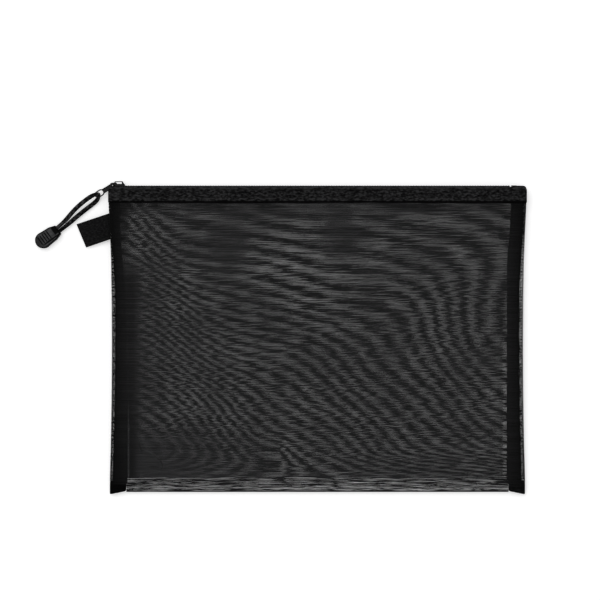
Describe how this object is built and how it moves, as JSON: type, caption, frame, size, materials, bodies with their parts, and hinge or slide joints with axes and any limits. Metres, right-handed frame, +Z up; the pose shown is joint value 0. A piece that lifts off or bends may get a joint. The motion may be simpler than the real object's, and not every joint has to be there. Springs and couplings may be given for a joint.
{
  "type": "zip document wallet",
  "caption": "Flat zip wallet of black mesh for A4 papers, with bound side seams, a coil zip along the top, a corded zip pull with a ribbed grip, and a small tape tab.",
  "frame": {"origin": "on the resting back face, under the middle of the wallet", "axes": "+X along the zip, +Y towards the zip, +Z up through the thickness"},
  "size_m": [0.3827, 0.2442, 0.0101],
  "materials": {
    "mesh": "open nylon mesh",
    "binding_tape": "woven tape",
    "zip_tape": "woven tape",
    "coil": "nylon coil",
    "thread": "sewing thread",
    "slider_metal": "black lacquer",
    "sheet": "smoked film",
    "cord": "braided cord",
    "grip": "soft moulded plastic",
    "webbing": "woven tape"
  },
  "bodies": {
    "wallet": {"mesh_front": "mesh", "mesh_back": "mesh", "mesh_bottom_fold": "mesh", "mesh_edge_left": "mesh", "mesh_edge_right": "mesh", "binding_left": "binding_tape", "binding_right": "binding_tape", "zip_tape_front": "zip_tape", "zip_tape_back": "zip_tape", "zip_coil_front": "coil", "zip_coil_back": "coil", "zip_top_stops": "slider_metal", "zip_bottom_stop": "slider_metal", "zip_stitching_front": "thread", "zip_stitching_back": "thread", "side_stitching_left": "thread", "side_stitching_right": "thread", "divider_sheet": "sheet"},
    "slider": {"slider_body": "slider_metal"},
    "link": {"pull_link": "slider_metal"},
    "puller": {"pull_cord": "cord", "cord_grip": "grip", "cord_knot": "cord"},
    "tab": {"hang_tab": "webbing"}
  },
  "joints": [
    {"name": "zip_slide", "type": "slide", "parent": "wallet", "child": "slider", "axis": [1, 0, 0], "range_m": [0, 0.3008], "deforming": ["zip_coil_front", "zip_coil_back", "pull_cord"]},
    {"name": "pull_swing", "type": "hinge", "parent": "slider", "child": "link", "pos_m": [-0.1567, 0.12072, 0.00505], "axis": [0, 0, -1], "range_deg": [0, 138]},
    {"name": "puller_flip", "type": "hinge", "parent": "link", "child": "puller", "pos_m": [-0.17071, 0.11217, 0.00505], "axis": [-1, 0, 0], "range_deg": [0, 180]},
    {"name": "tab_fold", "type": "hinge", "parent": "wallet", "child": "tab", "pos_m": [-0.16176, 0.0873, 0.00455], "axis": [0, 1, 0], "range_deg": [0, 80]}
  ],
  "couplings": [
    {"joint": "puller_flip", "follows": "zip_slide", "rad_per_m": 10.444}
  ]
}
